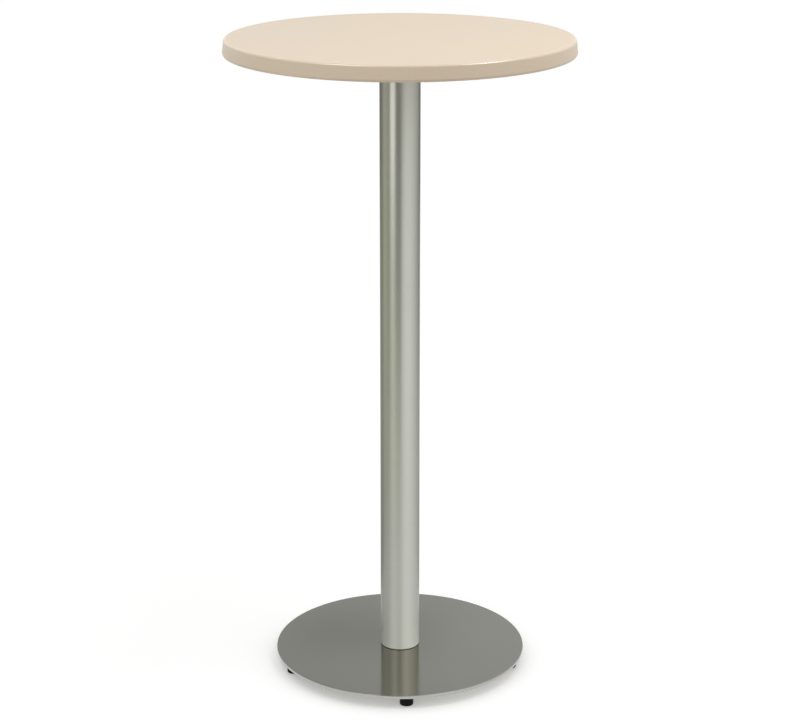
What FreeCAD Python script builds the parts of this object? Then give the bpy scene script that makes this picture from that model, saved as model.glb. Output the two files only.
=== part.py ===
"""A bar-height pub table: a moulded round top on a steel tube column and a flat disc base.

The pieces are held together by one tie rod.  It screws into the hub of a four-armed spider under
the top, runs down the column and is drawn tight by a nut under the base disc.  Wood screws hold
the spider to the top, and screw-in glides under the disc level the table.

Millimetres, +Z up, origin on the floor at the column's axis.  The front of the table is -Y.
"""
import FreeCAD, Part

import math
import os

# The table as a whole.
overall_height = 1134.0
top_diameter = 600.0
base_diameter = 450.0
tube_diameter = 70.0

# Moulded top: a thick, drafted rim round a thinner field.
top_rim_thickness = 27.0
top_field_thickness = 17.0
top_rim_width = 34.0
top_side_draft = 2.8
top_upper_radius = 4.0
top_lower_radius = 5.0
top_recess_slope = 6.0
top_recess_radius = 4.0

# Column tube.
tube_wall = 2.0
tube_end_chamfer = 1.3

# Spider under the top, and the hub that is welded to it.
spider_arm_count = 4
spider_span = 380.0
spider_arm_width = 40.0
spider_thickness = 5.0
spider_centre_margin = 20.0
spider_root_fillet = 14.0
hub_height = 26.0
hub_chamfer = 1.5

# Wood screws through the spider's arms into the top: one at each arm's tip, one further in.
screw_pitch = 65.0
screw_cover = 5.0
screw_diameter = 5.0
screw_head_diameter = 9.6
screw_head_height = 3.4
screw_head_rim = 1.5
screw_tip_length = 4.0
screw_tip_diameter = 1.6
screw_slot_length = 5.0
screw_slot_width = 1.1
screw_slot_depth = 1.7

# Base disc.
base_thickness = 6.0
base_edge_radius = 0.9

# Locator that centres the column on the base disc.
locator_height = 16.0
locator_chamfer = 2.0

# Tie rod and what tightens it under the disc.
rod_diameter = 10.0
rod_end_chamfer = 1.0
rod_below_nut = 2.4
rod_floor_clearance = 2.9
rod_top_recess = 1.0
washer_diameter = 30.0
washer_thickness = 2.5
spring_washer_diameter = 17.6
spring_washer_thickness = 2.2
spring_washer_gap = 2.0
nut_sides = 6
nut_across_flats = 17.0
nut_height = 8.0
nut_chamfer_angle = 30.0

# Levelling glides: a threaded boss under the disc, a stud and a moulded pad.
glide_count = 5
glide_edge_inset = 20.0
glide_first_angle = -86.8
boss_diameter = 15.0
boss_chamfer = 0.8
stud_diameter = 8.0
stud_pocket_cover = 2.5
stud_end_chamfer = 0.9
stud_head_diameter = 14.0
stud_head_height = 3.0
pad_diameter = 24.0
pad_height = 12.0
pad_sole_thickness = 4.0
pad_upper_radius = 1.2
pad_lower_radius = 1.6
pad_flute_count = 18
pad_flute_radius = 1.3
pad_flute_depth = 0.55
pad_plain_foot = 4.0

# Clearances between pieces.
thread_clearance = 0.08
rod_hole_clearance = 0.5
tube_fit_clearance = 0.3
screw_hole_clearance = 0.5
pilot_clearance = 0.1
socket_clearance = 0.15
glide_home_gap = 0.4
stud_tip_clearance = 0.5

# Levels, down from the top face and up from the floor.
top_under_z = overall_height - top_rim_thickness
field_under_z = overall_height - top_field_thickness
spider_under_z = field_under_z - spider_thickness
hub_under_z = spider_under_z - hub_height
screw_crown_z = spider_under_z - screw_head_height
screw_tip_z = overall_height - screw_cover
rod_bottom_z = rod_floor_clearance
nut_under_z = rod_bottom_z + rod_below_nut
spring_washer_under_z = nut_under_z + nut_height
washer_under_z = spring_washer_under_z + spring_washer_thickness
disc_under_z = washer_under_z + washer_thickness
disc_top_z = disc_under_z + base_thickness
rod_top_z = field_under_z - rod_top_recess
boss_under_z = pad_height + glide_home_gap
stud_pocket_z = disc_top_z - stud_pocket_cover
stud_top_z = stud_pocket_z - stud_tip_clearance

# Radii that pieces share.
tube_inner_radius = tube_diameter / 2 - tube_wall
plug_radius = tube_inner_radius - tube_fit_clearance
rod_radius = rod_diameter / 2
rod_thread_radius = rod_radius + thread_clearance
rod_hole_radius = rod_radius + rod_hole_clearance
stud_radius = stud_diameter / 2
stud_bore_radius = stud_radius + thread_clearance
spider_arm_reach = spider_span / 2 - spider_arm_width / 2

UP = FreeCAD.Vector(0, 0, 1)
AXIS_POINT = FreeCAD.Vector(0, 0, 0)
FULL_TURN = 360.0


def point(radius, height):
    """A point of a turned profile, in the XZ plane."""
    return FreeCAD.Vector(radius, 0, height)


def corner_arc(before, corner, after, radius):
    """Start, middle and end of the arc that rounds the corner between two lines."""
    back = (before - corner).normalize()
    ahead = (after - corner).normalize()
    half_angle = back.getAngle(ahead) / 2
    reach = radius / math.tan(half_angle)
    bisector = (back + ahead).normalize()
    centre = corner + bisector * (radius / math.sin(half_angle))
    return corner + back * reach, centre - bisector * radius, corner + ahead * reach


def rounded_wire(corners):
    """A closed wire through (point, rounding) corners; a corner with no rounding stays sharp."""
    edges = []
    ends = []
    for index, (corner, rounding) in enumerate(corners):
        start, end = corner, corner
        if rounding > 0:
            after = corners[(index + 1) % len(corners)][0]
            start, middle, end = corner_arc(corners[index - 1][0], corner, after, rounding)
            edges.append(Part.Arc(start, middle, end).toShape())
        ends.append((start, end))
    for index, (_, leave) in enumerate(ends):
        arrive = ends[(index + 1) % len(ends)][0]
        edges.append(Part.LineSegment(leave, arrive).toShape())
    return Part.Wire(Part.__sortEdges__(edges))


def revolved(wire):
    """The solid that a closed profile sweeps about Z."""
    return Part.Face(wire).revolve(AXIS_POINT, UP, FULL_TURN)


def turned(*corners):
    """A turned solid from (radius, height) or (radius, height, rounding) corners."""
    return revolved(rounded_wire([(point(c[0], c[1]), c[2] if len(c) > 2 else 0) for c in corners]))


def cylinder(radius, low, high, x=0.0, y=0.0):
    """An upright cylinder between two heights."""
    return Part.makeCylinder(radius, high - low, FreeCAD.Vector(x, y, low), UP)


def spun(shape, degrees):
    """A copy of a shape, turned about the table's axis."""
    copy = shape.copy()
    copy.rotate(AXIS_POINT, UP, degrees)
    return copy


def placed(shape, x, y):
    """A copy of a shape, moved sideways."""
    copy = shape.copy()
    copy.translate(FreeCAD.Vector(x, y, 0))
    return copy


def spider_arm_angles():
    """Directions of the spider's arms, in degrees, on the table's diagonals."""
    step = FULL_TURN / spider_arm_count
    return [(arm + 0.5) * step for arm in range(spider_arm_count)]


def screw_places():
    """Where the wood screws stand along every arm."""
    places = []
    for angle in spider_arm_angles():
        for radius in (spider_arm_reach - screw_pitch, spider_arm_reach):
            turn = math.radians(angle)
            places.append((radius * math.cos(turn), radius * math.sin(turn)))
    return places


def glide_places():
    """Where the glides stand on their circle, the first one nearest the front."""
    radius = base_diameter / 2 - glide_edge_inset
    places = []
    for index in range(glide_count):
        turn = math.radians(glide_first_angle + index * FULL_TURN / glide_count)
        places.append((radius * math.cos(turn), radius * math.sin(turn)))
    return places


def make_table_top():
    """The moulded top: a drafted, rounded rim, and a field that is recessed underneath."""
    lean = math.atan2(top_side_draft, top_rim_thickness)
    # The side leans in as it rises, so its sharp lower corner lies just outside the finished rim.
    lower_radius = top_diameter / 2 + top_lower_radius * (math.tan(lean) + 1 / math.cos(lean) - 1)
    upper_radius = lower_radius - top_side_draft
    rim_inner_radius = top_diameter / 2 - top_rim_width
    field_radius = rim_inner_radius - top_recess_slope
    top = turned(
        (0, overall_height),
        (upper_radius, overall_height, top_upper_radius),
        (lower_radius, top_under_z, top_lower_radius),
        (rim_inner_radius, top_under_z, top_recess_radius),
        (field_radius, field_under_z, top_recess_radius),
        (0, field_under_z),
    )
    pilot_radius = screw_diameter / 2 + pilot_clearance
    pilot_top_z = screw_tip_z + pilot_clearance
    pilots = [cylinder(pilot_radius, field_under_z, pilot_top_z, x, y) for x, y in screw_places()]
    return top.cut(Part.makeCompound(pilots))


def is_arm_root(edge):
    """True for an upright edge between the spider's centre and the tips of its arms."""
    start, end = edge.Vertexes[0].Point, edge.Vertexes[-1].Point
    upright = abs(start.z - end.z) > spider_thickness / 2
    return upright and math.hypot(start.x, start.y) < spider_arm_reach


def make_spider():
    """Flat steel cross: a round centre with round-ended arms, drilled for the screws and the rod."""
    spider = cylinder(tube_diameter / 2 + spider_centre_margin, spider_under_z, field_under_z)
    bar = Part.makeBox(
        spider_arm_reach,
        spider_arm_width,
        spider_thickness,
        FreeCAD.Vector(0, -spider_arm_width / 2, spider_under_z),
    )
    tip = cylinder(spider_arm_width / 2, spider_under_z, field_under_z, spider_arm_reach)
    arm = bar.fuse(tip)
    for angle in spider_arm_angles():
        spider = spider.fuse(spun(arm, angle))
    spider = spider.removeSplitter()
    spider = spider.makeFillet(spider_root_fillet, [edge for edge in spider.Edges if is_arm_root(edge)])
    hole_radius = screw_diameter / 2 + screw_hole_clearance
    holes = [cylinder(hole_radius, spider_under_z, field_under_z, x, y) for x, y in screw_places()]
    holes.append(cylinder(rod_thread_radius, spider_under_z, field_under_z))
    return spider.cut(Part.makeCompound(holes))


def make_spider_hub():
    """Turned plug under the spider that centres the tube's top and takes the rod's thread."""
    return turned(
        (rod_thread_radius, spider_under_z),
        (plug_radius, spider_under_z),
        (plug_radius, hub_under_z + hub_chamfer),
        (plug_radius - hub_chamfer, hub_under_z),
        (rod_thread_radius, hub_under_z),
    )


def dome_arc(radius, low, height):
    """A dome's profile from its lowest point, on the axis, up to its rim."""
    sphere_radius = (radius**2 + height**2) / (2 * height)
    half_angle = math.asin(radius / sphere_radius) / 2
    middle_rise = sphere_radius * (1 - math.cos(half_angle))
    middle = point(sphere_radius * math.sin(half_angle), low + middle_rise)
    return Part.Arc(point(0, low), middle, point(radius, low + height)).toShape()


def make_wood_screw():
    """A pan-head wood screw that points up, with its cross recess, on the axis."""
    head_radius = screw_head_diameter / 2
    shank_radius = screw_diameter / 2
    rim_z = spider_under_z - screw_head_rim
    corners = [
        point(head_radius, rim_z),
        point(head_radius, spider_under_z),
        point(shank_radius, spider_under_z),
        point(shank_radius, screw_tip_z - screw_tip_length),
        point(screw_tip_diameter / 2, screw_tip_z),
        point(0, screw_tip_z),
        point(0, screw_crown_z),
    ]
    edges = [dome_arc(head_radius, screw_crown_z, screw_head_height - screw_head_rim)]
    for start, end in zip(corners, corners[1:]):
        edges.append(Part.LineSegment(start, end).toShape())
    screw = revolved(Part.Wire(edges))
    for length, width in ((screw_slot_length, screw_slot_width), (screw_slot_width, screw_slot_length)):
        corner = FreeCAD.Vector(-length / 2, -width / 2, screw_crown_z)
        screw = screw.cut(Part.makeBox(length, width, screw_slot_depth, corner))
    return screw


def make_column_tube():
    """The round column, its outer edges eased at both ends."""
    outer = tube_diameter / 2
    return turned(
        (tube_inner_radius, disc_top_z),
        (outer - tube_end_chamfer, disc_top_z),
        (outer, disc_top_z + tube_end_chamfer),
        (outer, spider_under_z - tube_end_chamfer),
        (outer - tube_end_chamfer, spider_under_z),
        (tube_inner_radius, spider_under_z),
    )


def make_tie_rod():
    """The rod that draws spider, column and base disc together."""
    return turned(
        (0, rod_bottom_z),
        (rod_radius - rod_end_chamfer, rod_bottom_z),
        (rod_radius, rod_bottom_z + rod_end_chamfer),
        (rod_radius, rod_top_z - rod_end_chamfer),
        (rod_radius - rod_end_chamfer, rod_top_z),
        (0, rod_top_z),
    )


def make_column_locator():
    """Turned ring on the base disc that the tube's lower end slips over."""
    top_z = disc_top_z + locator_height
    return turned(
        (rod_hole_radius, disc_top_z),
        (plug_radius, disc_top_z),
        (plug_radius, top_z - locator_chamfer),
        (plug_radius - locator_chamfer, top_z),
        (rod_hole_radius, top_z),
    )


def make_base_plate():
    """The flat base disc: a hole for the tie rod and blind pockets for the glides' studs."""
    radius = base_diameter / 2
    disc = turned(
        (0, disc_under_z),
        (radius, disc_under_z, base_edge_radius),
        (radius, disc_top_z, base_edge_radius),
        (0, disc_top_z),
    )
    cuts = [cylinder(stud_bore_radius, disc_under_z, stud_pocket_z, x, y) for x, y in glide_places()]
    cuts.append(cylinder(rod_hole_radius, disc_under_z, disc_top_z))
    return disc.cut(Part.makeCompound(cuts))


def make_washer():
    """Wide flat washer under the base disc."""
    washer = cylinder(washer_diameter / 2, washer_under_z, disc_under_z)
    return washer.cut(cylinder(rod_hole_radius, washer_under_z, disc_under_z))


def make_spring_washer():
    """Split spring washer, drawn flat by the nut."""
    ring = cylinder(spring_washer_diameter / 2, spring_washer_under_z, washer_under_z)
    ring = ring.cut(cylinder(rod_hole_radius, spring_washer_under_z, washer_under_z))
    split = Part.makeBox(
        spring_washer_diameter,
        spring_washer_gap,
        spring_washer_thickness,
        FreeCAD.Vector(0, -spring_washer_gap / 2, spring_washer_under_z),
    )
    return ring.cut(split)


def make_nut():
    """Hexagon nut with its corners turned off on both faces."""
    flat_radius = nut_across_flats / 2
    corner_radius = flat_radius / math.cos(math.pi / nut_sides)
    top_z = nut_under_z + nut_height
    corners = []
    for index in range(nut_sides + 1):
        turn = 2 * math.pi * index / nut_sides
        x, y = corner_radius * math.cos(turn), corner_radius * math.sin(turn)
        corners.append(FreeCAD.Vector(x, y, nut_under_z))
    block = Part.Face(Part.makePolygon(corners)).extrude(UP * nut_height)
    drop = (corner_radius - flat_radius) * math.tan(math.radians(nut_chamfer_angle))
    envelope = turned(
        (rod_thread_radius, nut_under_z),
        (flat_radius, nut_under_z),
        (corner_radius, nut_under_z + drop),
        (corner_radius, top_z - drop),
        (flat_radius, top_z),
        (rod_thread_radius, top_z),
    )
    return block.common(envelope)


def make_glide_boss():
    """Round threaded boss that is welded under the base disc, on the axis."""
    outer = boss_diameter / 2
    return turned(
        (stud_bore_radius, disc_under_z),
        (outer, disc_under_z),
        (outer, boss_under_z + boss_chamfer),
        (outer - boss_chamfer, boss_under_z),
        (stud_bore_radius, boss_under_z),
    )


def make_glide_stud():
    """Stud of a glide, on the axis: a flat head held in the pad and a shank up into the boss."""
    head_radius = stud_head_diameter / 2
    head_top_z = pad_sole_thickness + stud_head_height
    return turned(
        (0, pad_sole_thickness),
        (head_radius, pad_sole_thickness),
        (head_radius, head_top_z),
        (stud_radius, head_top_z),
        (stud_radius, stud_top_z - stud_end_chamfer),
        (stud_radius - stud_end_chamfer, stud_top_z),
        (0, stud_top_z),
    )


def make_glide_pad():
    """Moulded pad of a glide, on the axis: a socket round the stud's head and a fluted grip."""
    outer = pad_diameter / 2
    pad = turned(
        (0, 0),
        (outer, 0, pad_lower_radius),
        (outer, pad_height, pad_upper_radius),
        (0, pad_height),
    )
    socket_low_z = pad_sole_thickness - socket_clearance
    socket_high_z = pad_sole_thickness + stud_head_height + socket_clearance
    pad = pad.cut(cylinder(stud_head_diameter / 2 + socket_clearance, socket_low_z, socket_high_z))
    pad = pad.cut(cylinder(stud_bore_radius, socket_high_z, pad_height))
    flute_centre = outer + pad_flute_radius - pad_flute_depth
    flute = cylinder(pad_flute_radius, pad_plain_foot, pad_height, flute_centre)
    turns = [index * FULL_TURN / pad_flute_count for index in range(pad_flute_count)]
    return pad.cut(Part.makeCompound([spun(flute, turn) for turn in turns]))


def build():
    """Every piece of the table, by the name it is kept under."""
    screw = make_wood_screw()
    boss = make_glide_boss()
    pieces = {
        "table_top": make_table_top(),
        "spider": make_spider(),
        "spider_hub": make_spider_hub(),
        "top_screws": Part.makeCompound([placed(screw, x, y) for x, y in screw_places()]),
        "column_tube": make_column_tube(),
        "tie_rod": make_tie_rod(),
        "column_locator": make_column_locator(),
        "base_plate": make_base_plate(),
        "tie_rod_washer": make_washer(),
        "tie_rod_spring_washer": make_spring_washer(),
        "tie_rod_nut": make_nut(),
        "glide_bosses": Part.makeCompound([placed(boss, x, y) for x, y in glide_places()]),
    }
    stud = make_glide_stud()
    pad = make_glide_pad()
    for number, (x, y) in enumerate(glide_places(), start=1):
        pieces[f"glide_stud_{number}"] = placed(stud, x, y)
        pieces[f"glide_pad_{number}"] = placed(pad, x, y)
    return pieces


os.makedirs("parts", exist_ok=True)
for name, shape in build().items():
    shape.exportStep(f"parts/{name}.step")
    print(f"{name}: {len(shape.Solids)} solids, valid {shape.isValid()}, {shape.Volume:.0f} mm3")
print(f"base disc from {disc_under_z:.1f} to {disc_top_z:.1f} mm, column up to {spider_under_z:.1f} mm")
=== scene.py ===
"""Looks of a bar-height pub table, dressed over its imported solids.

The file is laid out as an add-on: settings, one operator for each piece or group of like pieces, and a
sidebar panel that lists them.  Metres, +Z up; the camera stands in front of the table, on the -Y side.
"""
import math

import bmesh
import bpy
from bpy.props import FloatProperty, FloatVectorProperty, IntProperty, PointerProperty
from mathutils import Matrix, Vector


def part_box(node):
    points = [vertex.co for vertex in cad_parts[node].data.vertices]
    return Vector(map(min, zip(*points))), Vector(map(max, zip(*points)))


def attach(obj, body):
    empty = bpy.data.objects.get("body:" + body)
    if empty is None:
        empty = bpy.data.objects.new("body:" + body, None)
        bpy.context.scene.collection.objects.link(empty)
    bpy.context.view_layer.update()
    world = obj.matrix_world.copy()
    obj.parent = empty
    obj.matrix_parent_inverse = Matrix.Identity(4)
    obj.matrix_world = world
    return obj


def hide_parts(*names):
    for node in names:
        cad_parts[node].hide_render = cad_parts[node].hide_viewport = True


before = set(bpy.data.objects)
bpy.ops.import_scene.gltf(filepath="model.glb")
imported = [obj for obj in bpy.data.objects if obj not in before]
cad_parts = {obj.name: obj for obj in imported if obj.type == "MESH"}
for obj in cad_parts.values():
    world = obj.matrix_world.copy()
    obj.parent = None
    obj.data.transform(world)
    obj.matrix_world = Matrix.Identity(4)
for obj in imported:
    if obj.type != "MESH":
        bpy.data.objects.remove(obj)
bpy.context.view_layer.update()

bl_info = {
    "name": "Pub Table",
    "version": (1, 0, 0),
    "blender": (4, 5, 0),
    "location": "3D View > Sidebar > Pub Table",
    "description": "Dresses a bar-height pub table over its solids",
    "category": "Object",
}

FULL_TURN = 2 * math.pi
GLIDE_NUMBERS = range(1, 6)
ARM_COUNT = 4
FIRST_ARM = math.radians(45)
ROOT_BODY = "table"
SMALL_GAP = 1e-6
FIT_GAP = 1e-5
SHARP_ANGLE = math.radians(34)
WHITE = (1.0, 1.0, 1.0)


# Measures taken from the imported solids

def low_high(node):
    """Lowest and highest level of a solid."""
    low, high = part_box(node)
    return low.z, high.z


def half_width(node):
    """Half of a solid's width, which is the radius of a round one."""
    low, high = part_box(node)
    return (high.x - low.x) / 2


def middle(node):
    """Centre of a solid's box."""
    low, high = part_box(node)
    return (low + high) / 2


# Settings

def length(name, description, default):
    """A length in metres."""
    return FloatProperty(
        name=name, description=description, default=default, min=0, precision=5, unit="LENGTH"
    )


def colour(name, description, default):
    """A linear colour."""
    return FloatVectorProperty(
        name=name, description=description, default=default, min=0, max=1, size=3, subtype="COLOR"
    )


def level(name, description, default):
    """A brightness, where 1 is white."""
    return FloatProperty(name=name, description=description, default=default, min=0)


def power(name, description, default):
    """A lamp's power."""
    return FloatProperty(name=name, description=description, default=default, min=0, unit="POWER")


class TableTopSettings(bpy.types.PropertyGroup):
    """Shape and finish of the moulded top."""

    side_draft: length("Side Draft", "How far the side leans in from its foot to its head", 0.0028)
    upper_rounding: length("Upper Rounding", "Radius of the rim's upper edge", 0.004)
    lower_rounding: length("Lower Rounding", "Radius of the rim's lower edge", 0.005)
    rim_width: length("Rim Width", "Width of the thick rim, seen from below", 0.034)
    recess_slope: length("Recess Slope", "Width of the slope from the rim up to the field", 0.006)
    recess_rounding: length("Recess Rounding", "Radius at the head and foot of that slope", 0.004)
    face_colour: colour("Laminate Colour", "Cream laminate", (0.81, 0.665, 0.495))
    back_colour: colour("Backing Colour", "Backing sheet underneath", (0.46, 0.37, 0.27))


class ColumnSettings(bpy.types.PropertyGroup):
    """Shape and finish of the column."""

    wall: length("Wall", "Wall of the tube", 0.002)
    end_chamfer: length("End Chamfer", "Width of the eased edge at the tube's ends", 0.0013)
    steel_colour: colour("Steel Colour", "Satin stainless steel", (0.66, 0.671, 0.592))


class BasePlateSettings(bpy.types.PropertyGroup):
    """Shape and finish of the base disc."""

    hole_radius: length("Hole Radius", "Radius of the tie rod's hole", 0.0055)
    edge_rounding: length("Edge Rounding", "Radius of the disc's edges", 0.0009)
    steel_colour: colour("Steel Colour", "Fine-ground stainless steel", (0.338, 0.332, 0.275))


class SpiderSettings(bpy.types.PropertyGroup):
    """Shape and finish of the spider under the top."""

    arm_width: length("Arm Width", "Width of an arm", 0.040)
    centre_radius: length("Centre Radius", "Radius of the round centre", 0.055)
    root_fillet: length("Root Fillet", "Radius between an arm and the centre", 0.014)
    edge_rounding: length("Edge Rounding", "Radius of the pressed edges", 0.0007)
    paint_colour: colour("Paint Colour", "Black powder coat", (0.022, 0.022, 0.023))


class HardwareSettings(bpy.types.PropertyGroup):
    """Screws, rod and nut."""

    screw_pitch: length("Screw Pitch", "Distance between the two screws of an arm", 0.065)
    screw_head_rim: length("Head Rim", "Height of a screw head's straight rim", 0.0015)
    screw_head_height: length("Head Height", "Height of a screw head", 0.0034)
    screw_head_radius: length("Head Radius", "Radius of a screw head", 0.0048)
    screw_shank_radius: length("Shank Radius", "Radius of a screw's shank", 0.0025)
    slot_length: length("Recess Length", "Length of a screw head's cross recess", 0.005)
    slot_width: length("Recess Width", "Width of a screw head's cross recess", 0.0011)
    slot_depth: length("Recess Depth", "Depth of a screw head's cross recess", 0.0017)
    rod_pitch: length("Rod Thread Pitch", "Pitch of the tie rod's thread", 0.0015)
    rod_chamfer: length("Rod Chamfer", "Width of the eased edge at the rod's ends", 0.001)
    stud_pitch: length("Stud Thread Pitch", "Pitch of the glides' threads", 0.00125)
    zinc_colour: colour("Zinc Colour", "Zinc plate", (0.58, 0.60, 0.62))


class GlideSettings(bpy.types.PropertyGroup):
    """Shape and finish of the levelling glides."""

    stud_radius: length("Stud Radius", "Radius of a stud's threaded shank", 0.004)
    stud_head_height: length("Stud Head", "Height of a stud's flat head, inside the pad", 0.003)
    stud_end_chamfer: length("Stud Chamfer", "Width of the eased edge at a stud's end", 0.0009)
    bore_clearance: length("Bore Clearance", "Between a stud's shank and the bores round it", 0.00008)
    socket_clearance: length("Socket Clearance", "Between a stud's head and the pad round it", 0.00015)
    pad_upper_rounding: length("Upper Rounding", "Radius of a pad's upper edge", 0.0012)
    pad_lower_rounding: length("Lower Rounding", "Radius of a pad's lower edge", 0.0016)
    flute_count: IntProperty(name="Flutes", description="Finger flutes round a pad", default=18, min=0)
    flute_radius: length("Flute Radius", "Radius of a flute's hollow", 0.0013)
    flute_depth: length("Flute Depth", "How deep a flute cuts in", 0.00055)
    plain_foot: length("Plain Foot", "Height of the pad's foot, below the flutes", 0.004)
    boss_chamfer: length("Boss Chamfer", "Width of a boss's eased edge", 0.0008)
    weld_radius: length("Weld Radius", "Size of the weld bead round a boss", 0.0014)
    nylon_colour: colour("Nylon Colour", "Moulded pads", (0.004, 0.004, 0.004))


class StageSettings(bpy.types.PropertyGroup):
    """Camera, floor and light."""

    camera_distance: length("Camera Distance", "From the column's axis, along the floor", 3.600)
    camera_height: length("Camera Height", "Above the floor", 1.670)
    camera_pitch: FloatProperty(
        name="Camera Pitch", description="How far it looks down", default=math.radians(17.06), subtype="ANGLE"
    )
    lens: FloatProperty(name="Lens", description="Focal length", default=96.2, unit="CAMERA")
    floor_bounce: level("Floor Bounce", "How much light the floor throws up at the table", 0.60)
    floor_tone: level("Floor Tone", "How light the floor looks", 0.97)
    floor_lift: level("Floor Lift", "Brightness that takes the bare floor up to white", 0.27)
    sky_low: level("Sky at the Horizon", "Brightness of the soft light from the sides", 0.63)
    sky_high: level("Sky Overhead", "Brightness that the soft light gains overhead", 0.26)
    lamp_power: power("Lamp Power", "Each overhead lamp", 3.0)
    glint_power: power("Glint Power", "What each lamp adds in mirrored light alone", 9.0)
    lamp_size: length("Lamp Size", "Height of each lamp overhead", 0.30)
    tent_radius: length("Tent Radius", "Radius of the cloth tent that the metal mirrors", 0.90)
    tent_shoulder: length("Tent Shoulder", "Height at which that tent's walls lean in", 0.80)


class PubTableSettings(bpy.types.PropertyGroup):
    """All settings of the table and its stage."""

    table_top: PointerProperty(type=TableTopSettings)
    column: PointerProperty(type=ColumnSettings)
    base_plate: PointerProperty(type=BasePlateSettings)
    spider: PointerProperty(type=SpiderSettings)
    hardware: PointerProperty(type=HardwareSettings)
    glides: PointerProperty(type=GlideSettings)
    stage: PointerProperty(type=StageSettings)


# Wiring of node trees

GEOMETRY = "NodeSocketGeometry"
FLOAT = "NodeSocketFloat"
INT = "NodeSocketInt"
VECTOR = "NodeSocketVector"
MATERIAL = "NodeSocketMaterial"
SWEEP_INPUTS = {"Profile": GEOMETRY, "Radius": FLOAT, "Segments": INT, "Arc Steps": INT, "Material": MATERIAL}


def titled(label):
    """A socket's label from a name in code."""
    return label.replace("_", " ").title()


class Wiring:
    """A node tree, with short ways to add to it."""

    def __init__(self, tree):
        self.tree = tree

    def feed(self, socket, value):
        """Gives a socket a value, or a link from another socket, or from each one of a list."""
        for source in value if isinstance(value, list) else [value]:
            if isinstance(source, bpy.types.NodeSocket):
                self.tree.links.new(source, socket)
            else:
                socket.default_value = source

    def add(self, kind, inputs=None, **options):
        """The outputs of a new node."""
        node = self.tree.nodes.new(kind)
        for option, value in options.items():
            setattr(node, option, value)
        for key, value in (inputs or {}).items():
            self.feed(node.inputs[key], value)
        return node.outputs

    def calc(self, operation, *values):
        """The result of one sum."""
        return self.add("ShaderNodeMath", dict(enumerate(values)), operation=operation)[0]

    def vector(self, x=0.0, y=0.0, z=0.0):
        """A vector from its parts."""
        return self.add("ShaderNodeCombineXYZ", {"X": x, "Y": y, "Z": z})[0]

    def split(self, vector):
        """The parts of a vector."""
        return self.add("ShaderNodeSeparateXYZ", {"Vector": vector})

    def place(self):
        """Coordinates that stay with the piece."""
        return self.add("ShaderNodeTexCoord")["Object"]

    def reach(self, place):
        """How far a place lies from the Z axis."""
        flat = self.add("ShaderNodeVectorMath", {0: place, 1: (1.0, 1.0, 0.0)}, operation="MULTIPLY")[0]
        return self.add("ShaderNodeVectorMath", {0: flat}, operation="LENGTH")["Value"]

    def noise(self, place, scale, detail, output=0, **inputs):
        """Noise of a scale and a fineness."""
        values = {titled(label): value for label, value in inputs.items()}
        values.update({"Vector": place, "Scale": scale, "Detail": detail})
        return self.add("ShaderNodeTexNoise", values)[output]

    def mapped(self, value, from_low, from_high, to_low=0.0, to_high=1.0):
        """A value taken smoothly from one range to another."""
        inputs = {"Value": value, "From Min": from_low, "From Max": from_high}
        inputs.update({"To Min": to_low, "To Max": to_high})
        return self.add("ShaderNodeMapRange", inputs, interpolation_type="SMOOTHSTEP")[0]

    def near(self, value, centre, inner, outer):
        """1 within an inner distance of a centre, fading to 0 at an outer one."""
        away = self.calc("ABSOLUTE", self.calc("SUBTRACT", value, centre))
        return self.mapped(away, inner, outer, 1.0, 0.0)

    def blended(self, share, first, second):
        """Two values mixed by a share."""
        return self.add("ShaderNodeMix", {0: share, 2: first, 3: second})[0]

    def mixed(self, share, first, second):
        """Two colours mixed by a share."""
        ends = [end if isinstance(end, bpy.types.NodeSocket) else (*end, 1.0) for end in (first, second)]
        return self.add("ShaderNodeMix", {0: share, 6: ends[0], 7: ends[1]}, data_type="RGBA")[2]


class GroupWiring(Wiring):
    """The wiring of a node group with named sockets."""

    def __init__(self, name, kind, inputs, outputs):
        super().__init__(bpy.data.node_groups.new(name, kind))
        for in_out, sockets in (("INPUT", inputs), ("OUTPUT", outputs)):
            for label, socket_type in sockets.items():
                self.tree.interface.new_socket(label, in_out=in_out, socket_type=socket_type)
        self.given = self.tree.nodes.new("NodeGroupInput").outputs
        self.asked = self.tree.nodes.new("NodeGroupOutput").inputs

    def finish(self, **results):
        """Connects the group's outputs, and hands over its tree."""
        for label, socket in results.items():
            self.feed(self.asked[label], socket)
        return self.tree


def shared(name):
    """Marks the builder of a node group, which is built at its first use and then found by its name."""
    def named(build):
        return lambda: bpy.data.node_groups.get(name) or build(name)
    return named


# Geometry trees

def shape_group(name, inputs, lengths=()):
    """An empty geometry tree."""
    inputs = {**inputs, **dict.fromkeys(lengths, FLOAT)}
    return GroupWiring(name, "GeometryNodeTree", inputs, {"Geometry": GEOMETRY})


def finish_shape(group, geometry):
    """Ends a geometry tree: instances become real, and the material is set."""
    smooth = group.add("GeometryNodeSetShadeSmooth", {"Geometry": geometry})[0]
    real = group.add("GeometryNodeRealizeInstances", {"Geometry": smooth})[0]
    painted = {"Geometry": real, "Material": group.given["Material"]}
    return group.finish(Geometry=group.add("GeometryNodeSetMaterial", painted)[0])


def ring_curve(group, segments, radius):
    """A circle to sweep along, or a round section."""
    return group.add("GeometryNodeCurvePrimitiveCircle", {"Resolution": segments, "Radius": radius})[0]


def swept_profile(group):
    """The given profile with rounded corners, swept round the Z axis and closed at its poles."""
    given = group.given
    rounding = group.add("GeometryNodeInputRadius")[0]
    corners = {"Curve": given["Profile"], "Count": given["Arc Steps"], "Radius": rounding}
    rounded = group.add("GeometryNodeFilletCurve", corners, mode="POLY")[0]
    circle = ring_curve(group, given["Segments"], given["Radius"])
    sweep = group.add("GeometryNodeCurveToMesh", {"Curve": circle, "Profile Curve": rounded})[0]
    return group.add("GeometryNodeMergeByDistance", {"Geometry": sweep, "Distance": SMALL_GAP})[0]


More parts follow.
